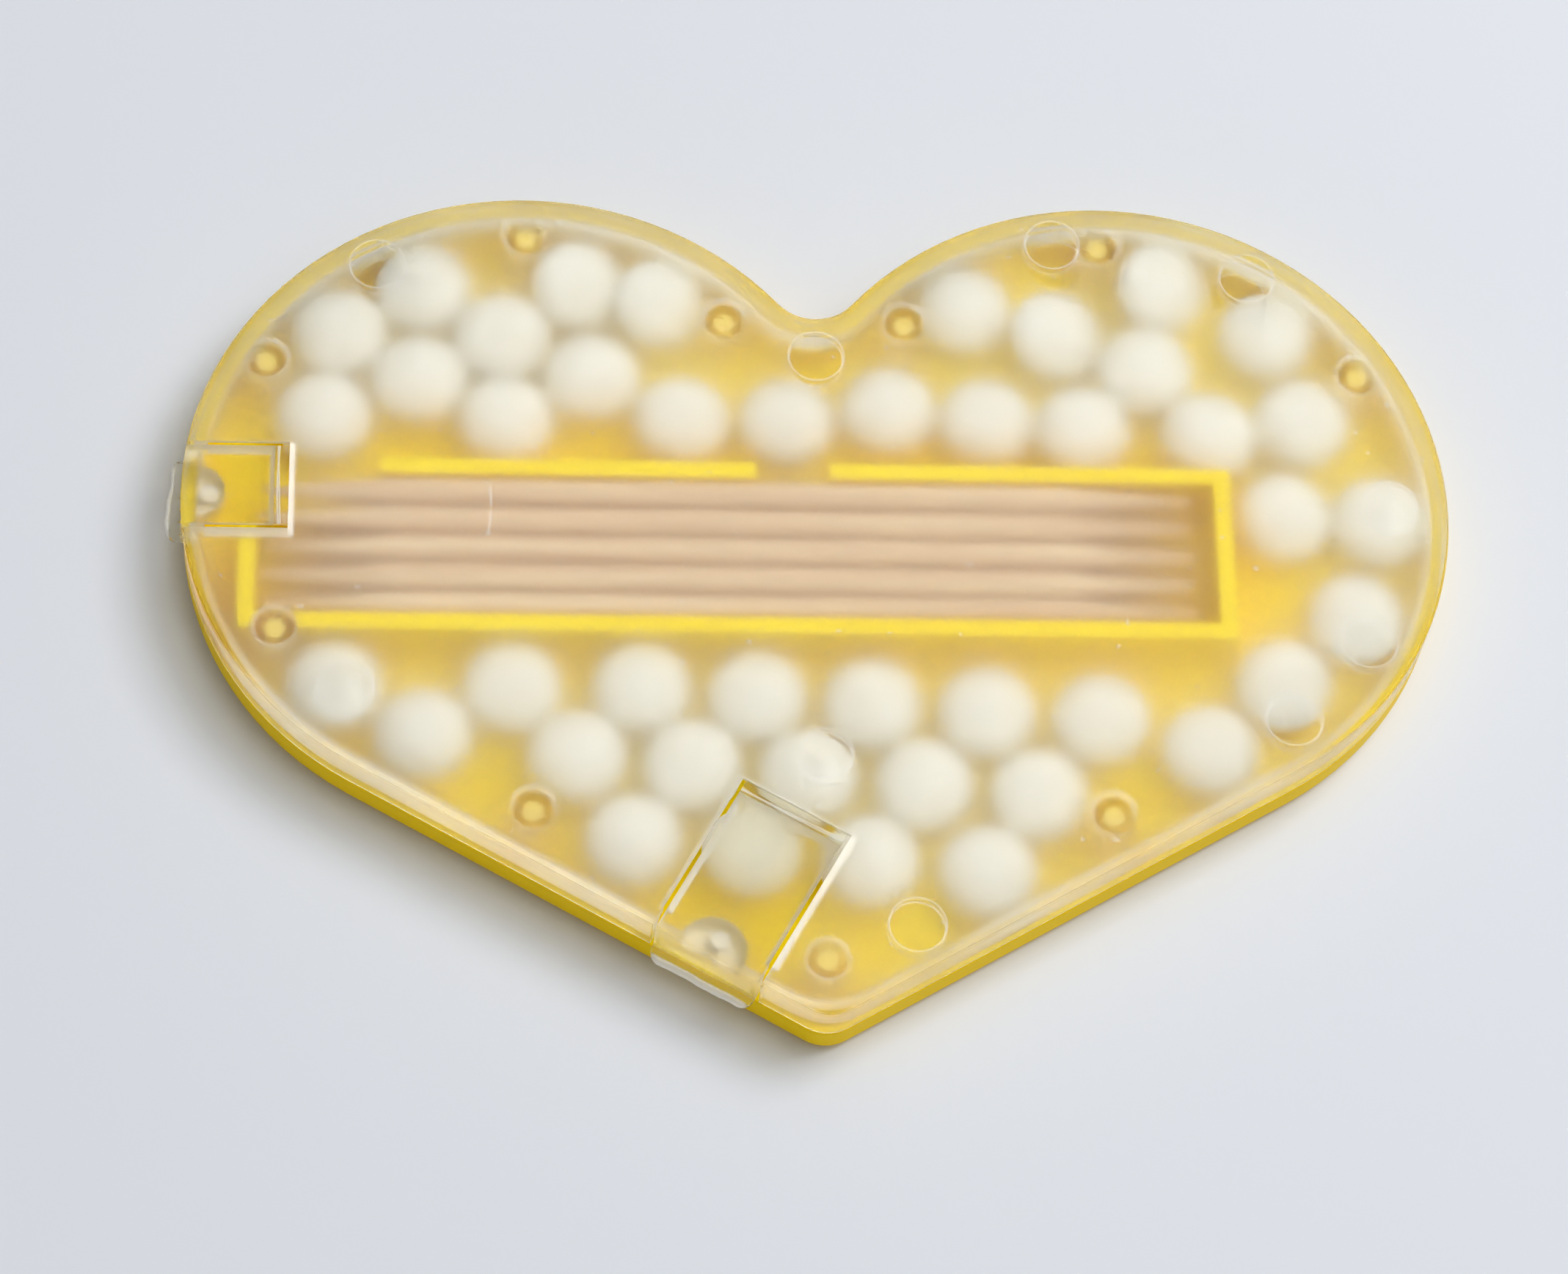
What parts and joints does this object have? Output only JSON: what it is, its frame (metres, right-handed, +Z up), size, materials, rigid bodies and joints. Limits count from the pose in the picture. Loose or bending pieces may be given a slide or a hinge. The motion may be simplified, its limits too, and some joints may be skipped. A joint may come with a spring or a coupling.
{
  "type": "heart-shaped mint and toothpick dispenser",
  "caption": "Flat heart-shaped pocket case with a yellow tray and frosted lid, holding loose mints and a bay of wooden toothpicks, each let out by its own flip door on a film hinge.",
  "frame": {"origin": "On the flat base, on the heart's line of symmetry, level with the centres of the two lobes", "axes": "+X to the right lobe, +Y away from the tip towards the cleft, +Z up through the lid"},
  "size_m": [0.0897, 0.0625, 0.006],
  "materials": {
    "yellow_tray": "satin gloss",
    "frosted_lid": "frosted",
    "clear_door": "clear",
    "hinge_film": "clear",
    "wood": "bare",
    "mint": "matte"
  },
  "bodies": {
    "case": {"lid": "frosted_lid", "mint_01": "mint", "mint_02": "mint", "mint_03": "mint", "mint_04": "mint", "mint_05": "mint", "mint_06": "mint", "mint_07": "mint", "mint_08": "mint", "mint_09": "mint", "mint_10": "mint", "mint_11": "mint", "mint_12": "mint", "mint_13": "mint", "mint_14": "mint", "mint_15": "mint", "mint_16": "mint", "mint_17": "mint", "mint_18": "mint", "mint_19": "mint", "mint_20": "mint", "mint_21": "mint", "mint_22": "mint", "mint_23": "mint", "mint_24": "mint", "mint_25": "mint", "mint_26": "mint", "mint_27": "mint", "mint_28": "mint", "mint_29": "mint", "mint_30": "mint", "mint_31": "mint", "mint_32": "mint", "mint_33": "mint", "mint_34": "mint", "mint_35": "mint", "mint_36": "mint", "mint_37": "mint", "mint_38": "mint", "mint_39": "mint", "mint_40": "mint", "mint_41": "mint", "mint_42": "mint", "mint_43": "mint", "mint_hinge": "hinge_film", "toothpick_01": "wood", "toothpick_02": "wood", "toothpick_03": "wood", "toothpick_04": "wood", "toothpick_05": "wood", "toothpick_06": "wood", "toothpick_07": "wood", "toothpick_08": "wood", "toothpick_09": "wood", "toothpick_hinge": "hinge_film", "tray": "yellow_tray"},
    "toothpick_flap": {"toothpick_door": "clear_door"},
    "mint_flap": {"mint_door": "clear_door"}
  },
  "joints": [
    {"name": "toothpick_door_hinge", "type": "hinge", "parent": "case", "child": "toothpick_flap", "pos_m": [-0.0373, 0.00045, 0.00588], "axis": [0, 1, 0], "range_deg": [0, 90], "deforming": ["toothpick_hinge"]},
    {"name": "mint_door_hinge", "type": "hinge", "parent": "case", "child": "mint_flap", "pos_m": [-0.0022, -0.02397, 0.00588], "axis": [-0.8667, 0.4988, 0], "range_deg": [0, 90], "deforming": ["mint_hinge"]}
  ]
}
